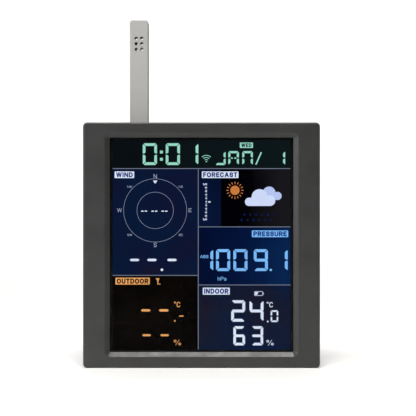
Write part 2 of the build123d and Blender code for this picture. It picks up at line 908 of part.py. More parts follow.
def key_cap(centre):
    """An oval cap with a retaining flange behind the wall and a stem that reaches the switch."""
    with BuildPart() as cap:
        slab(plunger_back + 0.05, flange_back - 0.8, 3.0, 3.0, centre, 0.6)
        slab(flange_back - 0.8, flange_back, key_width + 2.0, key_height + 2.0, centre, 2.0)
        slab(flange_back, body_depth + key_proud, key_width, key_height, centre, key_height / 2 - 0.01)
        fillet(faces().sort_by(Axis.Y)[-1].edges(), 0.5)
    return cap


def switch_plunger(centre, reach=0.0):
    """The round plunger of a push switch, which sinks into the switch's body."""
    with BuildPart() as plunger:
        posts(switch_back - 1.2, plunger_back + reach, 1.7, [centre])
    return plunger


keys = {}
for key_name, key_centre in zip(key_names, key_centres):
    keys["key_" + key_name] = key_cap(key_centre)
    keys["plunger_" + key_name] = switch_plunger(key_centre)

reset_plunger = switch_plunger(reset_centre, reach=1.4)

# ---------------------------------------------------------------- export
pieces = {
    "front_frame": front_frame,
    "display_window": display_window,
    "window_gasket": window_gasket,
    "lcd_front_glass": lcd_front_glass,
    "lcd_rear_glass": lcd_rear_glass,
    "colour_film": colour_film,
    "light_guide": light_guide,
    "backlight_tray": backlight_tray,
    "backlight_leds": backlight_leds,
    "zebra_strip": zebra_strip,
    "display_screws": display_screws,
    "main_board": main_board,
    "board_screws": board_screws,
    "controller_cover": controller_cover,
    "wifi_module": wifi_module,
    "radio_module": radio_module,
    "radio_antenna": radio_antenna,
    "barometer": barometer,
    "buzzer": buzzer,
    "dc_socket": dc_socket,
    "dc_socket_pin": dc_socket_pin,
    "key_switches": key_switches,
    "rear_cover": rear_cover,
    "case_screws": case_screws,
    "rating_plate": rating_plate,
    "battery_upper": battery_upper,
    "battery_middle": battery_middle,
    "battery_lower": battery_lower,
    "battery_springs": battery_springs,
    "battery_plates": battery_plates,
    "battery_lead_red": battery_lead_red,
    "battery_lead_black": battery_lead_black,
    "battery_door": battery_door,
    "door_cushion": door_cushion,
    "arm_shell": arm_shell,
    "arm_cover": arm_cover,
    "arm_screw": arm_screw,
    "arm_board": arm_board,
    "humidity_sensor": humidity_sensor,
    "arm_lead": arm_lead,
    "arm_hinge_pin": arm_hinge_pin,
    "hinge_washers": hinge_washers,
    "sensor_lead": sensor_lead,
    "foot_plate": foot_plate,
    "foot_pads": foot_pads,
    "foot_hinge_pins": foot_hinge_pins,
    **keys,
    "reset_plunger": reset_plunger,
}

os.makedirs("parts", exist_ok=True)
for name, piece in pieces.items():
    piece.part.label = name
    export_step(piece.part, f"parts/{name}.step")
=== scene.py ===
"""The looks of a home weather station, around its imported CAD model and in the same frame.

Lengths are metres, except that names ending in _mm and the layouts of the artwork are in millimetres.
On the display, a place is (u, v): u runs right and v runs down from the top left corner of the lit area.
On the back, a place is (x, z) of the frame. Colours are given as 8-bit sRGB and converted.
"""

import json
import math

import bmesh
import bpy
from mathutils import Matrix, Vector


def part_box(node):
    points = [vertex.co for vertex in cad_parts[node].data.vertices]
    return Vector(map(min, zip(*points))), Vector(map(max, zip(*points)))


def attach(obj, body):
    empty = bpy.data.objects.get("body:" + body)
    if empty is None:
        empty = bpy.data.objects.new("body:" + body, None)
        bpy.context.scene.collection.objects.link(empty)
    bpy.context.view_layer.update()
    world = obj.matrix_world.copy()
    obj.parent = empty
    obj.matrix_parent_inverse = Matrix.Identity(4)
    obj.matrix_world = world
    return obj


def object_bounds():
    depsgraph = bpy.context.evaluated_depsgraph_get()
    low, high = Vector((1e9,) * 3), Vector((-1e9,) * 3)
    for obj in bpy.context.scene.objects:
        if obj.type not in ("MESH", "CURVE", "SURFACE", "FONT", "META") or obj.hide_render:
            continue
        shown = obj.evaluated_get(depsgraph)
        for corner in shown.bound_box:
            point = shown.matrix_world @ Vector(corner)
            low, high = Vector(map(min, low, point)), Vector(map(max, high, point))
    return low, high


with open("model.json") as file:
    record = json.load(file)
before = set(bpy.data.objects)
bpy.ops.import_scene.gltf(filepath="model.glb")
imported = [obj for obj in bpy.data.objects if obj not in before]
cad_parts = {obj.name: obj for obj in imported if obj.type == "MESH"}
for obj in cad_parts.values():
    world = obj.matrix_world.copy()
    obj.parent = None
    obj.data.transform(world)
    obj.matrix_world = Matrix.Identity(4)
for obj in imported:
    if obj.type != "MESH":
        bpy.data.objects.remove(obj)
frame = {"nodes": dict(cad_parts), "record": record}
cad_low, cad_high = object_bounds()

MM = 0.001
NODES = frame["nodes"]
SLOT_OF = {part["node"]: part["material_slot"] for part in frame["record"]["subparts"]}


# ------------------------------------------------------------------------------ colour and materials
def linear(*srgb):
    """An 8-bit sRGB colour as the linear RGBA that shaders take."""
    channels = [c / 255 for c in srgb]
    return tuple(c / 12.92 if c <= 0.04045 else ((c + 0.055) / 1.055) ** 2.4 for c in channels) + (1.0,)


def scaled(colour, factor):
    return tuple(c * factor for c in colour[:3]) + (1.0,)


def new_material(name, **sockets):
    """A Principled material with these sockets set. Returns the material and a small node toolkit."""
    material = bpy.data.materials.new(name)
    material.use_nodes = True
    kit = NodeKit(material.node_tree)
    for socket, value in sockets.items():
        kit.shader.inputs[socket.replace("_", " ")].default_value = value
    return material, kit


class NodeKit:
    """Short calls for the nodes that the materials share."""

    def __init__(self, tree):
        self.tree = tree
        self.shader = tree.nodes["Principled BSDF"]
        self.coordinates = tree.nodes.new("ShaderNodeTexCoord")

    def node(self, kind, **settings):
        made = self.tree.nodes.new(kind)
        for key, value in settings.items():
            setattr(made, key, value)
        return made

    def link(self, output, target):
        self.tree.links.new(output, target)

    def stretched(self, scale):
        """Object coordinates with a different scale along each axis."""
        mapping = self.node("ShaderNodeMapping")
        mapping.inputs["Scale"].default_value = scale
        self.link(self.coordinates.outputs["Object"], mapping.inputs["Vector"])
        return mapping.outputs["Vector"]

    def noise(self, size_mm, detail=2.0, roughness=0.5, vector=None):
        """Noise whose grains are about this large. Returns its 0 to 1 factor."""
        noise = self.node("ShaderNodeTexNoise")
        noise.inputs["Scale"].default_value = 1 / (size_mm * MM)
        noise.inputs["Detail"].default_value = detail
        noise.inputs["Roughness"].default_value = roughness
        self.link(vector or self.coordinates.outputs["Object"], noise.inputs["Vector"])
        return noise.outputs["Fac"]

    def ranged(self, factor, low, high, from_low=0.35, from_high=0.65):
        """Maps the middle of a noise's range to low and high."""
        span = self.node("ShaderNodeMapRange")
        span.inputs["From Min"].default_value = from_low
        span.inputs["From Max"].default_value = from_high
        span.inputs["To Min"].default_value = low
        span.inputs["To Max"].default_value = high
        self.link(factor, span.inputs["Value"])
        return span.outputs["Result"]

    def ramp(self, factor, *stops):
        """A colour ramp with (position, colour) stops."""
        ramp = self.node("ShaderNodeValToRGB")
        elements = ramp.color_ramp.elements
        while len(elements) < len(stops):
            elements.new(0.5)
        for element, (position, colour) in zip(elements, stops):
            element.position = position
            element.color = colour
        self.link(factor, ramp.inputs["Fac"])
        return ramp.outputs["Color"]

    def bump(self, height, depth_mm, strength=1.0, under=None):
        bump = self.node("ShaderNodeBump")
        bump.inputs["Distance"].default_value = depth_mm * MM
        bump.inputs["Strength"].default_value = strength
        self.link(height, bump.inputs["Height"])
        if under is not None:
            self.link(under, bump.inputs["Normal"])
        return bump.outputs["Normal"]

    def to(self, output, socket):
        self.link(output, self.shader.inputs[socket])


def moulded_plastic(name, colour, roughness, grain_mm=0.35, grain_depth_mm=0.03, cloud=0.10, gloss=0.5):
    """Spark-eroded moulded plastic: a fine grain, faint cloudiness, and a gloss that varies."""
    material, kit = new_material(name)
    kit.shader.inputs["Specular IOR Level"].default_value = gloss
    clouds = kit.noise(14, detail=3)
    kit.to(
        kit.ramp(clouds, (0.3, scaled(colour, 1 - cloud)), (0.7, scaled(colour, 1 + cloud))),
        "Base Color",
    )
    kit.to(kit.ranged(kit.noise(5, detail=4), roughness - 0.05, roughness + 0.06), "Roughness")
    flow = kit.bump(kit.noise(6, detail=1), 0.02, 0.4)
    kit.to(kit.bump(kit.noise(grain_mm, detail=2, roughness=0.6), grain_depth_mm, 0.7, flow), "Normal")
    return material


def rubber(name, colour, roughness=0.7):
    material, kit = new_material(name)
    kit.to(
        kit.ramp(kit.noise(3, detail=4), (0.3, scaled(colour, 0.85)), (0.7, scaled(colour, 1.2))),
        "Base Color",
    )
    kit.to(kit.ranged(kit.noise(1.5), roughness - 0.08, roughness + 0.06), "Roughness")
    kit.to(kit.bump(kit.noise(0.2, detail=1), 0.015, 0.6), "Normal")
    return material


def metal(name, colour, roughness, brushed_along=None):
    """Metal with fine lay marks, along one axis if it was drawn or turned that way."""
    material, kit = new_material(name, Metallic=1.0)
    scale = {None: (1, 1, 1), "X": (0.05, 1, 1), "Y": (1, 0.05, 1), "Z": (1, 1, 0.05)}[brushed_along]
    marks = kit.noise(0.12, detail=3, vector=kit.stretched(scale))
    kit.to(
        kit.ramp(kit.noise(2, detail=3), (0.3, scaled(colour, 0.82)), (0.7, scaled(colour, 1.1))),
        "Base Color",
    )
    kit.to(kit.ranged(marks, roughness - 0.06, roughness + 0.1), "Roughness")
    kit.to(kit.bump(marks, 0.004, 0.5), "Normal")
    return material


def clear_sheet(name, colour, roughness, transmission=0.0, gloss=0.5, opacity=1.0):
    """Clear moulded or cut sheet, with the faint waviness of a polished surface.

    A thin sheet in front of something lit has a low opacity and no gloss: what lies under it has the sheen.
    """
    material, kit = new_material(
        name,
        Base_Color=colour,
        Transmission_Weight=transmission,
        IOR=1.49,
        Specular_IOR_Level=gloss,
        Alpha=opacity,
    )
    kit.to(kit.ranged(kit.noise(9, detail=2), roughness, roughness + 0.015), "Roughness")
    return material


def circuit_board(name, colour, trace_colour):
    """Solder mask with faint tracks showing through it."""
    material, kit = new_material(name, Roughness=0.35)
    tracks = kit.node("ShaderNodeTexBrick", offset=0.37, squash=1.6, squash_frequency=3)
    tracks.inputs["Scale"].default_value = 1 / (4 * MM)
    tracks.inputs["Mortar Size"].default_value = 0.06
    tracks.inputs["Color1"].default_value = colour
    tracks.inputs["Color2"].default_value = scaled(colour, 0.85)
    tracks.inputs["Mortar"].default_value = trace_colour
    turn = kit.node("ShaderNodeMapping")
    turn.inputs["Rotation"].default_value = (math.pi / 2, 0, 0)
    kit.link(kit.coordinates.outputs["Object"], turn.inputs["Vector"])
    kit.link(turn.outputs["Vector"], tracks.inputs["Vector"])
    kit.to(tracks.outputs["Color"], "Base Color")
    kit.to(kit.bump(tracks.outputs["Fac"], 0.03, 0.5), "Normal")
    return material


DISPLAY_GLOSS = 0.03
DISPLAY_ROUGHNESS = (0.06, 0.10)


def glowing(name, colour, unevenness=0.06, grain_mm=12):
    """A lit display element. The backlight behind it is never quite even."""
    material, kit = new_material(
        name, Base_Color=(0.0, 0.0, 0.0, 1.0), Specular_IOR_Level=DISPLAY_GLOSS, Emission_Color=colour
    )
    kit.to(kit.ranged(kit.noise(grain_mm), 1 - unevenness, 1 + unevenness), "Emission Strength")
    kit.to(kit.ranged(kit.noise(8), *DISPLAY_ROUGHNESS), "Roughness")
    return material


def glowing_field(name, stops, reflection_slope=None, patch_mm=26, patch_share=0.25):
    """An unlit field of the display: nearly black, with the backlight leaking through in soft patches.

    slope is (axis index, low mm, high mm) along which the glow mostly grows across the field instead: a
    painted faint reflection on the window, drawn as glow.
    """
    material, kit = new_material(
        name, Base_Color=(0.0, 0.0, 0.0, 1.0), Specular_IOR_Level=DISPLAY_GLOSS, Emission_Strength=1.0
    )
    factor = kit.ranged(kit.noise(patch_mm, detail=1.5), 0.0, 1.0, 0.3, 0.7)
    # A slope adds glow that grows across the field: a painted faint reflection, not backlight.
    if reflection_slope is not None:
        axis, low, high = reflection_slope
        split = kit.node("ShaderNodeSeparateXYZ")
        kit.link(kit.coordinates.outputs["Object"], split.inputs["Vector"])
        reflection_climb = kit.ranged(split.outputs[axis], 0.0, 1.0, low * MM, high * MM)
        blend = kit.node("ShaderNodeMath", operation="MULTIPLY_ADD")
        kit.link(factor, blend.inputs[0])
        blend.inputs[1].default_value = patch_share
        kit.link(reflection_climb, blend.inputs[2])
        factor = blend.outputs["Value"]
    kit.to(kit.ramp(factor, *stops), "Emission Color")
    kit.to(kit.ranged(kit.noise(8), *DISPLAY_ROUGHNESS), "Roughness")
    return material


DARK_SHELL = moulded_plastic("dark_shell", linear(50, 50, 50), 0.42, gloss=0.45)
LIGHT_SHELL = moulded_plastic("light_shell", linear(171, 170, 168), 0.55, cloud=0.03)
WINDOW = clear_sheet("window_clear", (0.0, 0.0, 0.0, 1.0), 0.03, gloss=0.0, opacity=0.03)
LCD_GLASS = clear_sheet("lcd_glass", (0.004, 0.005, 0.007, 1.0), 0.15, gloss=0.15)

CAD_MATERIALS = {
    "dark_shell": DARK_SHELL,
    "light_shell": LIGHT_SHELL,
    "window_clear": WINDOW,
    "lcd_glass": LCD_GLASS,
    "film_tint": rubber("film_tint", linear(20, 40, 90), 0.4),
    "guide_clear": clear_sheet("guide_clear", (0.9, 0.95, 1.0, 1.0), 0.05, 0.9),
    "tray_white": moulded_plastic("tray_white", linear(228, 228, 224), 0.5, cloud=0.02),
    "gasket_foam": rubber("gasket_foam", linear(20, 20, 20), 0.9),
    "rubber_black": rubber("rubber_black", linear(24, 24, 25), 0.75),
    "rubber_grey": rubber("rubber_grey", linear(92, 93, 95), 0.62),
    "board_green": circuit_board("board_green", linear(18, 78, 44), linear(44, 118, 66)),
    "chip_black": moulded_plastic("chip_black", linear(24, 24, 25), 0.45, grain_mm=0.15),
    "screw_steel": metal("screw_steel", (0.50, 0.50, 0.51), 0.32),
    "pin_steel": metal("pin_steel", (0.56, 0.56, 0.57), 0.22, "X"),
    "contact_steel": metal("contact_steel", (0.66, 0.64, 0.60), 0.2),
    "shield_tin": metal("shield_tin", (0.60, 0.60, 0.58), 0.35),
    "copper_wire": metal("copper_wire", (0.62, 0.30, 0.14), 0.3, "Z"),
    "lead_red": rubber("lead_red", linear(170, 30, 26), 0.5),
    "lead_black": rubber("lead_black", linear(26, 26, 27), 0.5),
    "cell_sleeve": moulded_plastic("cell_sleeve", linear(70, 74, 80), 0.3, grain_mm=1.0),
    "plate_film": moulded_plastic("plate_film", linear(120, 121, 122), 0.4, grain_mm=0.6, cloud=0.03),
    "led_white": moulded_plastic("led_white", linear(235, 232, 214), 0.35),
}
for node, slot in SLOT_OF.items():
    for material_slot in NODES[node].material_slots:
        material_slot.material = CAD_MATERIALS[slot]


# ------------------------------------------------------------------------------ flat artwork in mesh
class Plate:
    """Collects thin closed shapes that lie parallel to the case's front or back into one piece."""

    def __init__(self, place, front_y, back_y):
        """place turns a 2-D point of the layout into (x, z) in metres."""
        self.place = place
        self.depths = (front_y, back_y)
        self.mesh = bmesh.new()

    def _loop(self, points, y):
        corners = [self.place(*point) for point in points]
        return [self.mesh.verts.new((x, y, z)) for x, z in corners]

    def shape(self, points):
        """A closed outline, filled."""
        front, back = (self._loop(points, y) for y in self.depths)
        self.mesh.faces.new(front)
        self.mesh.faces.new(back)
        for n in range(len(points)):
            m = (n + 1) % len(points)
            self.mesh.faces.new((front[n], front[m], back[m], back[n]))

    def band(self, outer, inner, closed=True):
        """The strip between two lines with the same number of points."""
        rings = [self._loop(line, y) for y in self.depths for line in (outer, inner)]
        front_outer, front_inner, back_outer, back_inner = rings
        last = len(outer) if closed else len(outer) - 1
        for n in range(last):
            m = (n + 1) % len(outer)
            for a, b in (
                (front_outer, front_inner),
                (front_inner, back_inner),
                (back_inner, back_outer),
                (back_outer, front_outer),
            ):
                self.mesh.faces.new((a[n], a[m], b[m], b[n]))
        if not closed:
            for n in (0, -1):
                self.mesh.faces.new([ring[n] for ring in (front_outer, front_inner, back_inner, back_outer)])

    def rectangle(self, left, top, right, bottom, corner=0.0):
        self.shape(rounded_box(left, top, right, bottom, corner))

    def disc(self, u, v, radius, steps=24):
        self.shape(arc(u, v, radius, 0, 360, steps)[:-1])

    def ring(self, u, v, outer, inner, start=0.0, end=360.0, steps=72):
        closed = end - start >= 360
        lines = [arc(u, v, radius, start, end, steps) for radius in (outer, inner)]
        if closed:
            lines = [line[:-1] for line in lines]
        self.band(*lines, closed=closed)

    def stroke(self, points, width, closed=False):
        """A band of even width along a path."""
        self.band(*swept(points, width, closed), closed=closed)

    def lettering(self, text, left, top, right, bottom, weight=0.2):
        """Plain upright letters that fill a box. weight is the stroke as a share of the letters' height."""
        height = bottom - top
        stroke = weight * height
        widths = [max(LETTERS[letter][0] * height, stroke) for letter in text]
        gap = LETTER_GAP * height
        fit = (right - left - gap * (len(text) - 1)) / sum(widths)
        for letter, width in zip(text, widths):
            self._letter(letter, left, top, width * fit, height, stroke)
            left += width * fit + gap

    def _letter(self, letter, left, top, width, height, stroke):
        _, radius, paths = LETTERS[letter]
        inner_left, inner_top = left + stroke / 2, top + stroke / 2
        inner_width, inner_height = max(width - stroke, 0.0), height - stroke
        for path in paths:
            closed = path[0] == path[-1]
            slanted = len(path) == 2 and path[0][0] != path[1][0] and path[0][1] != path[1][1]
            if slanted:
                (u0, v0), (u1, v1) = [(inner_left + x * inner_width, top + y * height) for x, y in path]
                half = stroke / 2 * math.hypot(u1 - u0, v1 - v0) / abs(v1 - v0)
                self.shape([(u0 - half, v0), (u0 + half, v0), (u1 + half, v1), (u1 - half, v1)])
                continue
            points = [(inner_left + x * inner_width, inner_top + y * inner_height) for x, y in path]
            if closed:
                points = points[:-1]
            else:
                points = extended(points, stroke / 2)
            if len(points) > 2:
                points = turned(points, radius * height, closed)
            self.stroke(points, stroke, closed)

    def piece(self, name, material, body, slot):
        bmesh.ops.remove_doubles(self.mesh, verts=self.mesh.verts, dist=1e-7)
        bmesh.ops.recalc_face_normals(self.mesh, faces=self.mesh.faces)
        data = bpy.data.meshes.new(name)
        self.mesh.to_mesh(data)
        self.mesh.free()
        data.materials.append(material)
        made = bpy.data.objects.new(name, data)
        bpy.context.scene.collection.objects.link(made)
        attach(made, body)


def arc(u, v, radius, start, end, steps):
    """Points on a circle, in degrees clockwise from the right."""
    angles = [math.radians(start + (end - start) * n / steps) for n in range(steps + 1)]
    return [(u + radius * math.cos(a), v + radius * math.sin(a)) for a in angles]


def spokes(plate, u, v, count, root, tip):
    """Rays round a point. root and tip are (distance from the point, half width)."""
    for n in range(count):
        angle = 2 * math.pi * n / count
        du, dv = math.cos(angle), math.sin(angle)
        corners = [(out, side * half) for (out, half), side in ((root, 1), (tip, 1), (tip, -1), (root, -1))]
        plate.shape([(u + out * du - half * dv, v + out * dv + half * du) for out, half in corners])


def rounded_box(left, top, right, bottom, corner):
    if not corner:
        return [(left, top), (right, top), (right, bottom), (left, bottom)]
    corners = (
        (left + corner, top + corner, 180),
        (right - corner, top + corner, 270),
        (right - corner, bottom - corner, 0),
        (left + corner, bottom - corner, 90),
    )
    return [point for u, v, start in corners for point in arc(u, v, corner, start, start + 90, 5)]


def direction(start, end):
    du, dv = end[0] - start[0], end[1] - start[1]
    length = math.hypot(du, dv)
    return du / length, dv / length


def extended(points, length):
    """An open path with both ends drawn out along themselves."""
    first, last = direction(points[1], points[0]), direction(points[-2], points[-1])
    start = (points[0][0] + first[0] * length, points[0][1] + first[1] * length)
    end = (points[-1][0] + last[0] * length, points[-1][1] + last[1] * length)
    return [start, *points[1:-1], end]


def turned(points, radius, closed, steps=5):
    """A path of upright and level runs with its corners turned into arcs no longer than the runs allow.

    Two corners share the run between them. A corner next to an open end has that run to itself.
    """
    if not radius:
        return points
    shared, whole = 0.49, 0.98
    count = len(points)
    path = [] if closed else [points[0]]
    for n in range(0 if closed else 1, count if closed else count - 1):
        before, corner, after = points[n - 1], points[n], points[(n + 1) % count]
        (au, av), (bu, bv) = direction(before, corner), direction(corner, after)
        room_before = math.dist(before, corner) * (shared if closed or n > 1 else whole)
        room_after = math.dist(corner, after) * (shared if closed or n < count - 2 else whole)
        turn = min(radius, room_before, room_after)
        for k in range(steps + 1):
            angle = math.pi / 2 * k / steps
            back, ahead = turn * (1 - math.sin(angle)), turn * (1 - math.cos(angle))
            path.append((corner[0] - au * back + bu * ahead, corner[1] - av * back + bv * ahead))
    return path if closed else [*path, points[-1]]


def swept(points, width, closed):
    """The two edges of a stroke along a path, mitred at its corners."""
    edges = [], []
    last = len(points) - 1
    for n, point in enumerate(points):
        before = direction(points[n - 1], point) if closed or n > 0 else None
        after = direction(point, points[(n + 1) % len(points)]) if closed or n < last else None
        before, after = before or after, after or before
        across_u, across_v = -(before[1] + after[1]) / 2, (before[0] + after[0]) / 2
        reach = width / 2 / (across_u**2 + across_v**2)
        for edge, side in zip(edges, (1, -1)):
            edge.append((point[0] + side * across_u * reach, point[1] + side * across_v * reach))
    return edges


STEM = [(0, 0), (0, 1)]
# The space between letters, in heights.
LETTER_GAP = 0.12
# Each letter: its width in heights, the radius of its turns in heights, and its strokes' centre lines in a
# unit box with v down. A slanted stroke is cut level at its ends.
LETTERS = {
    "A": (0.90, 0, [[(0, 1), (0.5, 0)], [(0.5, 0), (1, 1)], [(0.3, 0.68), (0.7, 0.68)]]),
    "B": (
        0.76, 0.18,
        [STEM, [(0, 0), (0.9, 0), (0.9, 0.48), (0, 0.48)], [(0, 0.48), (1, 0.48), (1, 1), (0, 1)]],
    ),
    "C": (0.80, 0.30, [[(1, 0.18), (1, 0), (0, 0), (0, 1), (1, 1), (1, 0.82)]]),
    "D": (0.80, 0.32, [STEM, [(0, 0), (1, 0), (1, 1), (0, 1)]]),
    "E": (0.68, 0, [[(1, 0), (0, 0), (0, 1), (1, 1)], [(0, 0.5), (0.85, 0.5)]]),
    "F": (0.64, 0, [[(1, 0), (0, 0), (0, 1)], [(0, 0.52), (0.85, 0.52)]]),
    "I": (0.20, 0, [STEM]),
    "N": (0.82, 0, [STEM, [(1, 0), (1, 1)], [(0, 0), (1, 1)]]),
    "O": (0.86, 0.33, [[(0, 0), (1, 0), (1, 1), (0, 1), (0, 0)]]),
    "P": (0.74, 0.22, [STEM, [(0, 0), (1, 0), (1, 0.54), (0, 0.54)]]),
    "R": (0.78, 0.20, [STEM, [(0, 0), (1, 0), (1, 0.52), (0, 0.52)], [(0.55, 0.52), (1, 1)]]),
    "S": (0.74, 0.20, [[(1, 0.2), (1, 0), (0, 0), (0, 0.5), (1, 0.5), (1, 1), (0, 1), (0, 0.8)]]),
    "T": (0.72, 0, [[(0, 0), (1, 0)], [(0.5, 0), (0.5, 1)]]),
    "U": (0.78, 0.30, [[(0, 0), (0, 1), (1, 1), (1, 0)]]),
    "W": (1.20, 0, [[(0, 0), (0.25, 1)], [(0.25, 1), (0.5, 0)], [(0.5, 0), (0.75, 1)], [(0.75, 1), (1, 0)]]),
    "a": (0.58, 0.14, [[(0.1, 0.34), (1, 0.34), (1, 1)], [(0, 0.64), (1, 0.64), (1, 1), (0, 1), (0, 0.64)]]),
    "h": (0.58, 0.18, [STEM, [(0, 0.36), (1, 0.36), (1, 1)]]),
}


def star_union(u, v, circles, base, steps=120):
    """The outline of overlapping circles above a flat base, seen from a point inside all of them."""
    outline = []
    for n in range(steps):
        angle = 2 * math.pi * n / steps
        du, dv = math.cos(angle), math.sin(angle)
        reach = 0.0
        for cu, cv, radius in circles:
            along = (cu - u) * du + (cv - v) * dv
            off = (cu - u) ** 2 + (cv - v) ** 2 - along**2
            if off < radius**2:
                reach = max(reach, along + math.sqrt(radius**2 - off))
        if dv > 0:
            reach = min(reach, (base - v) / dv)
        outline.append((u + reach * du, v + reach * dv))
    return outline


# ------------------------------------------------------------------------------ the display
glass_low, glass_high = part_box("lcd_front_glass")
window_low, window_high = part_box("display_window")

# One millimetre of the layout, as drawn.
LAYOUT_UNIT = 0.997 * MM
LIT_WIDTH = 105.9
LIT_HEIGHT = 124.9
LIT_TOP_MARGIN = 3.2
lit_left = (glass_low.x + glass_high.x) / 2 - LIT_WIDTH / 2 * LAYOUT_UNIT
lit_top = glass_high.z - LIT_TOP_MARGIN * MM
# The artwork lies in layers in the gap between the window and the display's glass.
LAYERS = 8
LAYER_CLEARANCE = 0.3
LAYER_THICKNESS = 0.6
layer_step = (glass_low.y - window_high.y) / LAYERS


def on_display(u, v):
    return lit_left + u * LAYOUT_UNIT, lit_top - v * LAYOUT_UNIT


def display_layer(level):
    """A thin layer of the artwork. Level 0 lies on the glass, and higher ones stand nearer the viewer."""
    back = glass_low.y - layer_step * (LAYER_CLEARANCE + level)
    return Plate(on_display, back - layer_step * LAYER_THICKNESS, back)


MINT = glowing("lcd_mint", linear(154, 222, 201))
WHITE = glowing("lcd_white", linear(223, 235, 255))
BLUE = glowing("lcd_blue", linear(124, 190, 255))
AMBER = glowing("lcd_amber", linear(236, 167, 100))
GREY_LINE = glowing("lcd_line", linear(118, 126, 146))
COMPASS_LINE = glowing("lcd_compass_line", linear(152, 160, 190))
COMPASS_LETTER = glowing("lcd_compass_letter", linear(176, 184, 214))
SCALE_MARK = glowing("lcd_scale_mark", linear(200, 210, 240))
BLUE_INK = glowing("lcd_blue_ink", linear(28, 42, 116))
GREEN_INK = glowing("lcd_green_ink", linear(4, 26, 24))
BROWN_INK = glowing("lcd_brown_ink", linear(16, 9, 6))
SUN = glowing("lcd_sun", linear(206, 126, 64), unevenness=0.2, grain_mm=0.5)
SUN_RAY = glowing("lcd_sun_ray", linear(232, 146, 78))
CLOUD = glowing("lcd_cloud", linear(212, 224, 255), unevenness=0.03)
REAR_CLOUD = glowing("lcd_rear_cloud", linear(186, 201, 246), unevenness=0.03)
RAIN_LIT = glowing("lcd_rain_lit", linear(8, 29, 88))
RAIN_DIM = glowing("lcd_rain_dim", linear(20, 28, 58))



def displayed(plate, name, material):
    """Adds a finished layer to the display."""
    plate.piece(name, material, "case", "film_tint")


# Where the lines between the fields are: v for a row, u for a column.
ROW_TIME = 17.0
COLUMN = 51.0
ROW_WIND = 80.6
ROW_FORECAST = 51.7
ROW_PRESSURE = 86.3
STRIP = 64.6

# Each field: its left, top, right and bottom, its stops from dim to bright, and the slope of the glow that
# grows across it, which is a painted faint reflection.
FIELDS = {
    "lcd_field_time": (
        (0, 0, LIT_WIDTH, ROW_TIME),
        [(0.0, linear(9, 13, 18)), (1.0, linear(13, 24, 27))],
        (0, -50, 50),
    ),
    "lcd_field_wind": (
        (0, ROW_TIME, COLUMN, ROW_WIND),
        [(0.0, linear(24, 20, 45)), (0.5, linear(13, 22, 52)), (1.0, linear(9, 26, 55))],
        None,
    ),
    "lcd_field_outdoor": (
        (0, ROW_WIND, COLUMN, LIT_HEIGHT),
        [(0.0, linear(3, 2, 2)), (1.0, linear(9, 6, 4))],
        None,
    ),
    "lcd_field_strip": (
        (COLUMN, ROW_TIME, STRIP, ROW_FORECAST),
        [(0.0, linear(4, 15, 44)), (1.0, linear(9, 23, 56))],
        None,
    ),
    "lcd_field_forecast": (
        (STRIP, ROW_TIME, LIT_WIDTH, ROW_FORECAST),
        [(0.0, linear(1, 1, 4)), (0.55, linear(3, 3, 7)), (1.0, linear(25, 24, 29))],
        (0, 8, 52),
    ),
    "lcd_field_pressure": (
        (COLUMN, ROW_FORECAST, LIT_WIDTH, ROW_PRESSURE),
        [(0.0, linear(3, 10, 40)), (0.6, linear(4, 20, 58)), (1.0, linear(8, 36, 78))],
        (0, -6, 58),
    ),
    "lcd_field_indoor": (
        (COLUMN, ROW_PRESSURE, LIT_WIDTH, LIT_HEIGHT),
        [(0.0, linear(24, 24, 42)), (0.5, linear(15, 26, 50)), (1.0, linear(10, 27, 62))],
        None,
    ),
}


def display_fields():
    for name, (edges, stops, reflection_slope) in FIELDS.items():
        field = display_layer(0)
        field.rectangle(*edges)
        displayed(field, name, glowing_field(name, stops, reflection_slope))


SEGMENTS = {
    "0": "abcdef", "1": "bc", "2": "abdeg", "3": "abcdg", "4": "bcfg",
    "6": "acdefg", "9": "abcdfg", "A": "abcef", "J": "bcd", "N": "abcef",
}


def segment_outlines(w, h, s, gap, corner):
    """The seven segments of a digit w by h with strokes s wide, corner-cut and mitred, from its top left."""
    near = (corner - gap) / 2
    far = (corner + gap) / 2
    middle = h / 2
    waist = 1.8 * gap
    top_left = [
        (0, corner), (near, far), (s, s + gap),
        (s, middle - s / 2 - gap), (s / 2, middle - waist), (0, middle - waist),
    ]
    top = [
        (corner, 0), (w - corner, 0), (w - far, near),
        (w - s - gap, s), (s + gap, s), (far, near),
    ]
    bar = [
        (gap, middle), (s / 2 + gap, middle - s / 2), (w - s / 2 - gap, middle - s / 2),
        (w - gap, middle), (w - s / 2 - gap, middle + s / 2), (s / 2 + gap, middle + s / 2),
    ]
    top_right = [(w - u, v) for u, v in top_left]
    below = {"c": top_right, "d": top, "e": top_left}
    outlines = {"a": top, "b": top_right, "f": top_left, "g": bar}
    for segment, above in below.items():
        outlines[segment] = [(u, h - v) for u, v in above]
    return outlines


SEGMENT_GAP = 0.22
# The corner cut of a segment, in strokes.
SEGMENT_CORNER = 0.6


def digit(plate, character, left, top, width, height, stroke):
    """A figure or letter of seven segments."""
    outlines = segment_outlines(width, height, stroke, SEGMENT_GAP, SEGMENT_CORNER * stroke)
    for segment in SEGMENTS[character]:
        plate.shape([(left + u, top + v) for u, v in outlines[segment]])


def dash(plate, left, right, middle, height):
    """A lone middle segment: a bar with pointed, slightly cut ends."""
    half = height / 2
    blunt = half * 0.3
    plate.shape(
        [
            (left, middle - blunt), (left + half, middle - half), (right - half, middle - half),
            (right, middle - blunt), (right, middle + blunt), (right - half, middle + half),
            (left + half, middle + half), (left, middle + blunt),
        ]
    )


# A label's stroke in letter heights, and its plate's corner.
LABEL_STROKE = 0.24
LABEL_CORNER = 0.35


def label(plate, ink, text, left, top, right, bottom, side=0.85, rise=0.52):
    """A lit plate with its word left dark. side and rise are the plate's margins round the word."""
    plate.rectangle(left, top, right, bottom, LABEL_CORNER)
    ink.lettering(text, left + side, top + rise, right - side, bottom - rise, LABEL_STROKE)


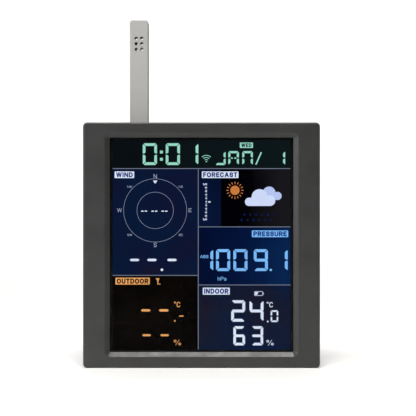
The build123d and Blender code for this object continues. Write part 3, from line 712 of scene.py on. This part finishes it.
def time_row():
    lit = display_layer(2)
    ink = display_layer(4)
    for character, left in (("0", 17.97), ("0", 31.65), ("1", 42.6)):
        digit(lit, character, left, top=1.92, width=8.45, height=12.95, stroke=1.6)
    for v in (7.15, 11.45):
        lit.rectangle(28.2, v - 0.88, 29.95, v + 0.88, 0.35)
    for character, left in (("J", 61.0), ("A", 68.9), ("N", 77.2), ("1", 96.45)):
        digit(lit, character, left, top=6.6, width=6.3, height=8.3, stroke=1.25)
    for left in (70.35, 72.45):
        dash(lit, left, left + 1.3, 10.75, 0.9)
    lit.shape([(84.9, 14.6), (88.1, 7.3), (88.95, 7.3), (85.75, 14.6)])
    # Signal strength: three arcs over a dot.
    half_line = 0.18
    for radius in (1.3, 2.55, 3.8):
        lit.ring(55.8, 12.9, radius + half_line, radius - half_line, 226, 314, steps=14)
    lit.disc(55.8, 12.85, 0.38)
    label(lit, ink, "WED", 75.75, 1.5, 83.55, 4.7, side=0.8, rise=0.5)
    displayed(lit, "lcd_time", MINT)
    displayed(ink, "lcd_time_ink", GREEN_INK)


def wind_field():
    lit = display_layer(2)
    line = display_layer(1)
    letters = display_layer(1)
    ink = display_layer(4)
    label(lit, ink, "WIND", 1.2, 18.7, 12.85, 22.65)
    label(lit, ink, "FORECAST", 53.15, 18.7, 74.95, 22.65, side=0.75)
    half_line = 0.09
    for radius in (18.8, 10.85):
        line.ring(25.35, 41.9, radius + half_line, radius - half_line)
    for text, u, v, half_width, half_height in (
        ("N", 25.4, 21.6, 0.95, 1.25), ("S", 25.4, 62.4, 0.85, 1.3),
        ("W", 4.1, 41.8, 1.4, 1.1), ("E", 46.2, 41.8, 0.9, 1.1),
        ("NW", 10.2, 27.8, 1.45, 0.6), ("NE", 40.7, 27.8, 1.3, 0.6),
        ("SW", 10.2, 56.5, 1.4, 0.6), ("SE", 40.6, 56.5, 1.2, 0.6),
    ):
        box = (u - half_width, v - half_height, u + half_width, v + half_height)
        letters.lettering(text, *box, weight=0.1)
    lit.shape([(24.1, 24.1), (26.6, 24.1), (25.75, 25.7), (24.95, 25.7)])
    # No reading yet: three pairs of dashes for the direction, and three with a point for the speed.
    for left in (16.9, 23.0, 29.0):
        for start in (left, left + 2.1):
            dash(lit, start, start + 1.65, 42.35, 0.65)
    for left in (10.35, 20.65, 32.6):
        dash(lit, left, left + 5.5, 71.4, 1.45)
    lit.disc(29.35, 77.25, 0.8)
    displayed(lit, "lcd_wind", WHITE)
    displayed(line, "lcd_compass", COMPASS_LINE)
    displayed(letters, "lcd_compass_letters", COMPASS_LETTER)
    displayed(ink, "lcd_wind_ink", BLUE_INK)


def outdoor_field():
    lit = display_layer(2)
    ink = display_layer(4)
    label(lit, ink, "OUTDOOR", 1.7, 81.95, 22.15, 86.05, side=0.8)
    # A little remote sensor: a mast with a flared top, on its foot.
    lit.shape([(26.75, 86.1), (26.6, 83.9), (25.6, 82.3), (27.9, 82.3), (27.3, 83.9), (27.2, 86.1)])
    lit.rectangle(27.5, 85.55, 28.5, 86.1, 0.2)
    for left, right, middle, height in (
        (17.0, 22.5, 101.4, 1.4), (27.7, 33.3, 101.4, 1.4),
        (17.75, 22.8, 116.2, 1.2), (28.5, 33.5, 116.2, 1.2), (39.6, 42.35, 104.8, 0.65),
    ):
        dash(lit, left, right, middle, height)
    lit.disc(37.05, 107.7, 0.48)
    unit_marks(lit, 36.55, 96.0, 118.9)
    displayed(lit, "lcd_outdoor", AMBER)
    displayed(ink, "lcd_outdoor_ink", BROWN_INK)


def unit_marks(plate, left, degree_top, percent_top):
    """Degrees Celsius beside a temperature, and per cent beside a humidity."""
    plate.ring(left + 0.6, degree_top + 0.75, 0.55, 0.25, steps=20)
    plate.lettering("C", left + 1.6, degree_top + 0.4, left + 3.7, degree_top + 3.5, weight=0.14)
    percent_bottom = percent_top + 3.3
    plate.ring(left + 0.65, percent_top + 0.8, 0.78, 0.38, steps=20)
    plate.ring(left + 3.4, percent_bottom - 0.8, 0.78, 0.38, steps=20)
    plate.shape(
        [
            (left + 0.8, percent_bottom), (left + 2.95, percent_top),
            (left + 3.27, percent_top), (left + 1.12, percent_bottom),
        ]
    )


def forecast_field():
    scale = display_layer(2)
    marks = display_layer(1)
    sun = display_layer(2)
    rays = display_layer(2)
    rear = display_layer(1)
    front = display_layer(3)
    rain_lit = display_layer(1)
    rain_dim = display_layer(1)
    # The tendency scale: marks with a fine one between each pair, a flag at each end, and a pointer.
    steps, right = 10, 56.2
    for n in range(steps + 1):
        v = 26.25 + 2.1 * n
        width = 0.85 + 0.45 * abs(2 * n - steps) / steps
        marks.rectangle(right - width, v - 0.42, right, v + 0.42, 0.15)
        if n < steps:
            marks.rectangle(55.45, v + 0.95, right, v + 1.15)
    for top, bottom in ((25.8, 27.0), (46.7, 47.9)):
        marks.shape([(53.7, top), (54.4, top), (54.9, bottom), (54.2, bottom)])
    scale.rectangle(56.95, 36.45, 58.35, 37.25, 0.25)
    sun_place = (72.85, 29.95)
    sun.disc(*sun_place, 2.75, steps=48)
    spokes(rays, *sun_place, 16, (3.7, 0.12), (5.05, 0.24))
    rear.shape(star_union(96.5, 33.6, [(93.2, 31.5, 3.8), (98.2, 33.3, 2.45), (96, 33.6, 2.2)], 35.7))
    front_base = [(81.3 + 1.13 * n, 36.8, 2.5) for n in range(12)]
    front.shape(star_union(88.0, 36.7, [(87.5, 34.0, 4.75), (93.7, 36.1, 3.15), *front_base], 39.25))
    # Two rows of drops, every second one lit.
    for v, first in ((44.4, 78.4), (47.6, 76.8)):
        for n in range(6):
            drop = rain_dim if n % 2 else rain_lit
            u = first + 3.5 * n
            drop.shape([(u + 0.35, v - 0.95), *arc(u, v + 0.1, 0.62, -30, 210, 10)])
    displayed(scale, "lcd_tendency_pointer", WHITE)
    displayed(marks, "lcd_tendency_scale", SCALE_MARK)
    displayed(sun, "lcd_sun", SUN)
    displayed(rays, "lcd_sun_rays", SUN_RAY)
    displayed(rear, "lcd_rear_cloud", REAR_CLOUD)
    displayed(front, "lcd_cloud", CLOUD)
    displayed(rain_lit, "lcd_rain_lit", RAIN_LIT)
    displayed(rain_dim, "lcd_rain_dim", RAIN_DIM)


def pressure_field():
    lit = display_layer(2)
    ink = display_layer(4)
    label(lit, ink, "PRESSURE", 82.9, 53.85, 104.55, 57.85, side=0.9)
    for character, left in (("1", 51.5), ("0", 61.6), ("0", 71.9), ("9", 84.05), ("1", 95.85)):
        digit(lit, character, left, top=65.0, width=8.4, height=13.0, stroke=1.7)
    lit.rectangle(93.5, 76.7, 94.85, 78.0, 0.25)
    lit.lettering("ABS", 52.1, 68.5, 57.0, 70.3, weight=0.15)
    lit.lettering("hPa", 62.6, 81.45, 67.7, 83.7, weight=0.13)
    displayed(lit, "lcd_pressure", BLUE)
    displayed(ink, "lcd_pressure_ink", BLUE_INK)


def indoor_field():
    lit = display_layer(2)
    line = display_layer(1)
    ink = display_layer(4)
    label(lit, ink, "INDOOR", 53.7, 87.9, 69.75, 92.05, side=0.75)
    for character, left in (("2", 70.6), ("4", 81.5)):
        digit(lit, character, left, top=95.4, width=8.35, height=12.75, stroke=1.7)
    for character, left in (("6", 71.9), ("3", 82.7)):
        digit(lit, character, left, top=110.85, width=6.95, height=11.4, stroke=1.55)
    digit(lit, "0", 94.1, top=101.35, width=4.5, height=7.0, stroke=0.95)
    lit.rectangle(91.9, 107.6, 92.9, 108.5, 0.2)
    unit_marks(lit, 91.7, 96.1, 119.0)
    # The battery symbol: outline, tip and a part charge.
    line.band(rounded_box(84.35, 90.05, 89.55, 92.75, 0.6), rounded_box(84.68, 90.38, 89.22, 92.42, 0.35))
    line.rectangle(89.6, 90.9, 90.0, 91.9)
    lit.shape([(84.85, 90.55), (86.9, 90.55), (85.9, 92.25), (84.85, 92.25)])
    displayed(lit, "lcd_indoor", WHITE)
    displayed(line, "lcd_battery_outline", SCALE_MARK)
    displayed(ink, "lcd_indoor_ink", BLUE_INK)


def dividers():
    """The thin lines between the fields."""
    line = display_layer(1)
    half = 0.21
    line.rectangle(0, ROW_TIME - half, LIT_WIDTH, ROW_TIME + half)
    line.rectangle(COLUMN - half, ROW_TIME + half, COLUMN + half, LIT_HEIGHT - 0.3)
    line.rectangle(0, ROW_WIND - half, COLUMN - half, ROW_WIND + half)
    for v in (ROW_FORECAST, ROW_PRESSURE):
        line.rectangle(COLUMN + half, v - half, LIT_WIDTH, v + half)
    displayed(line, "lcd_dividers", GREY_LINE)


def black_border():
    """The black print round the lit area, on the back of the window."""
    material, kit = new_material("window_print", Base_Color=linear(5, 5, 6), Specular_IOR_Level=0.2)
    kit.to(kit.ranged(kit.noise(2, detail=2), 0.35, 0.5), "Roughness")
    border = Plate(on_display, window_high.y + 0.1 * layer_step, window_high.y + 0.6 * layer_step)
    inset, reveal = 0.5, 0.15
    left = (window_low.x - lit_left) / LAYOUT_UNIT + inset
    right = (window_high.x - lit_left) / LAYOUT_UNIT - inset
    top = (lit_top - window_high.z) / LAYOUT_UNIT + inset
    bottom = (lit_top - window_low.z) / LAYOUT_UNIT - inset
    border.band(
        rounded_box(left, top, right, bottom, 1.0),
        rounded_box(-reveal, -reveal, LIT_WIDTH + reveal, LIT_HEIGHT + reveal, 0.2),
    )
    border.piece("window_border", material, "case", "gasket_foam")


display_fields()
dividers()
time_row()
wind_field()
outdoor_field()
forecast_field()
pressure_field()
indoor_field()
black_border()


# ------------------------------------------------------------------------------ printing on the back
back_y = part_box("rear_cover")[1].y
PRINT = moulded_plastic(
    "back_print", linear(150, 151, 150), 0.6, grain_mm=0.15, grain_depth_mm=0.01, cloud=0.05
)
PRINT_SLOT = "plate_film"


def on_back(x, z):
    return x * MM, z * MM


def back_print(face_y=back_y, proud=0.03):
    """A print that stands a little proud of a face on the back, and starts a little under it."""
    under = 0.02
    return Plate(on_back, face_y + proud * MM, face_y - under * MM)


def centre_mm(node):
    """The (x, z) middle of a CAD piece."""
    low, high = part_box(node)
    return (low.x + high.x) / 2 / MM, (low.z + high.z) / 2 / MM


def wheel_icon(ink, x, z):
    ink.ring(x, z, 1.2, 0.65, steps=32)
    spokes(ink, x, z, 8, (1.15, 0.3), (1.65, 0.22))


def cycle_icon(ink, x, z):
    ink.ring(x, z, 1.5, 1.15, 70, 360, 32)
    ink.shape([(x + 0.65, z + 0.1), (x + 2.0, z + 0.1), (x + 1.33, z - 0.95)])


def up_icon(ink, x, z):
    ink.shape([(x - 1.5, z - 1.1), (x + 1.5, z - 1.1), (x, z + 1.4)])


def down_icon(ink, x, z):
    ink.shape([(x - 1.5, z + 1.1), (x + 1.5, z + 1.1), (x, z - 1.4)])


def clock_icon(ink, x, z):
    ink.ring(x, z, 1.6, 1.3, steps=36)
    ink.stroke([(x, z + 1.0), (x, z), (x - 0.75, z)], 0.28)


def lamp_icon(ink, x, z):
    ink.disc(x, z, 0.8, 24)
    spokes(ink, x, z, 8, (1.1, 0.15), (1.7, 0.15))


KEY_ICONS = {
    "set": wheel_icon,
    "mode": cycle_icon,
    "up": up_icon,
    "down": down_icon,
    "history": clock_icon,
    "light": lamp_icon,
}


def key_prints():
    """A symbol beside each key, and a ring round the reset hole."""
    ink = back_print()
    aside = 3.6
    for name, icon in KEY_ICONS.items():
        key = "key_" + name
        icon(ink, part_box(key)[0].x / MM - aside, centre_mm(key)[1])
    ink.ring(*centre_mm("reset_plunger"), 2.3, 2.05, steps=40)
    ink.piece("key_symbols", PRINT, "case", PRINT_SLOT)


def polarity_print():
    """The usual symbol over the inlet: a centre contact, a sleeve and which is which."""
    ink = back_print()
    above, reach, line = 3.4, 5.0, 0.14
    x, z = centre_mm("dc_socket")[0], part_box("dc_socket")[1].z / MM + above
    ink.disc(x, z, 0.55)
    ink.ring(x, z, 1.5, 1.22, 40, 320, 28)
    ink.rectangle(x + 0.5, z - line, x + reach - 1.3, z + line)
    ink.rectangle(x - reach + 1.3, z - line, x - 1.25, z + line)
    for side in (-reach, reach):
        ink.ring(x + side, z, 1.35, 1.1, steps=32)
        ink.rectangle(x + side - 0.7, z - line, x + side + 0.7, z + line)
    for end in (-1, 1):
        ink.rectangle(x + reach - line, z + end * line, x + reach + line, z + end * 0.7)
    ink.piece("inlet_symbol", PRINT, "case", PRINT_SLOT)


def plate_print():
    """The rating plate's empty form: a frame and its ruled lines."""
    low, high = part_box("rating_plate")
    ink = back_print(high.y, 0.02)
    margin, line = 0.8, 0.18
    left, bottom = low.x / MM + margin, low.z / MM + margin
    right, top = high.x / MM - margin, high.z / MM - margin
    ink.band(
        rounded_box(left, bottom, right, top, 0.5),
        rounded_box(left + line, bottom + line, right - line, top - line, 0.35),
    )
    split = left + (right - left) * 0.3
    ink.rectangle(split, bottom + 1.0, split + line, top - 1.0)
    rules = 3
    for n in range(rules):
        z = bottom + (top - bottom) * (n + 1) / (rules + 1)
        ink.rectangle(split + 1.6, z - line / 2, right - 1.6, z + line / 2)
    ink.piece("plate_rules", PRINT, "case", PRINT_SLOT)


def door_arrow():
    """An arrow under the battery door's finger grip."""
    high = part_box("battery_door")[1]
    arrow = back_print(high.y)
    below_top = 19.0
    x, z = centre_mm("battery_door")[0], high.z / MM - below_top
    arrow.shape([(x - 2.6, z + 1.2), (x + 2.6, z + 1.2), (x, z - 2.0)])
    arrow.piece("door_arrow", PRINT, "battery_hatch", PRINT_SLOT)


key_prints()
polarity_print()
plate_print()
door_arrow()


# ------------------------------------------------------------------------------ stage, light and camera
def swept_round(name, profile, material, middle=False):
    """A stage surface turned about the upright axis. profile is (radius, height) from the inside out.

    middle fills the hole inside the first ring.
    """
    steps = 96
    turn = [2 * math.pi * n / steps for n in range(steps)]
    mesh = bmesh.new()
    rings = [[mesh.verts.new((r * math.cos(a), r * math.sin(a), z)) for a in turn] for r, z in profile]
    if middle:
        centre = mesh.verts.new((0, 0, profile[0][1]))
        for n in range(steps):
            mesh.faces.new((centre, rings[0][n], rings[0][(n + 1) % steps]))
    for inner, outer in zip(rings, rings[1:]):
        for n in range(steps):
            m = (n + 1) % steps
            mesh.faces.new((inner[n], outer[n], outer[m], inner[m]))
    data = bpy.data.meshes.new(name)
    mesh.to_mesh(data)
    mesh.free()
    for face in data.polygons:
        face.use_smooth = True
    data.materials.append(material)
    made = bpy.data.objects.new(name, data)
    bpy.context.scene.collection.objects.link(made)
    return made


def studio_bowl():
    """A pale floor that curves up into a wall all round. The wall doesn't mirror in the object's edges."""
    hub_radius, floor_radius, sweep, wall_top = 0.3, 1.5, 0.7, 2.6
    material, kit = new_material("studio_paper", Base_Color=(0.86, 0.86, 0.86, 1.0), Specular_IOR_Level=0.1)
    kit.to(kit.ranged(kit.noise(60, detail=2), 0.85, 0.95), "Roughness")
    swept_round("studio_floor", [(hub_radius, 0.0), (floor_radius, 0.0)], material, middle=True)
    curve = [
        (floor_radius + sweep * math.sin(angle), sweep * (1 - math.cos(angle)))
        for angle in (math.radians(7.5 * n) for n in range(13))
    ]
    wall = swept_round("studio_wall", [*curve, (floor_radius + sweep, wall_top)], material)
    wall.visible_glossy = False


def softbox(name, position, target, size, power, spread, colour=(1.0, 1.0, 1.0)):
    """A gridded softbox. spread is the full angle of its beam in degrees."""
    light = bpy.data.lights.new(name, "AREA")
    light.shape = "SQUARE"
    light.size = size
    light.energy = power
    light.spread = math.radians(spread)
    light.color = colour
    holder = bpy.data.objects.new(name, light)
    holder.location = position
    aim = Vector(target) - Vector(position)
    holder.rotation_euler = aim.to_track_quat("-Z", "Y").to_euler()
    holder.visible_camera = False
    bpy.context.scene.collection.objects.link(holder)


def lights():
    """Two soft lights from the left, one from above, and two on the stage behind the object."""
    middle = (0.0, 0.0, 0.09)
    softbox("key", (-0.9, -0.9, 0.3), middle, 0.4, 0.45, 50)
    softbox("side", (-0.9, -0.2, 0.35), middle, 0.3, 0.25, 60)
    softbox("top", (0.0, -0.48, 1.30), middle, 0.55, 3.9, 80, (1.0, 0.975, 0.94))
    softbox("backdrop", (0.0, 0.7, 2.2), (0.0, 2.1, 0.6), 1.0, 20.0, 120)
    softbox("far_floor", (0.0, 1.0, 2.3), (0.0, 1.3, 0.0), 1.0, 5.5, 100)
    world = bpy.data.worlds.new("studio")
    world.use_nodes = True
    background = world.node_tree.nodes["Background"]
    background.inputs["Color"].default_value = (0.93, 0.96, 1.0, 1.0)
    background.inputs["Strength"].default_value = 0.03
    bpy.context.scene.world = world


def camera():
    """Square on to the front, a little right of the middle, from about 0.6 m."""
    front_y = cad_low.y
    distance, frame_width = 0.6, 0.2453
    right, height = 0.00384, 0.09445
    data = bpy.data.cameras.new("camera")
    data.sensor_width = 36.0
    data.lens = data.sensor_width * distance / frame_width
    made = bpy.data.objects.new("camera", data)
    made.location = (right, front_y - distance, height)
    made.rotation_euler = (math.pi / 2, 0, 0)
    bpy.context.scene.collection.objects.link(made)
    bpy.context.scene.camera = made


studio_bowl()
lights()
camera()
bpy.context.scene.view_settings.view_transform = "Standard"
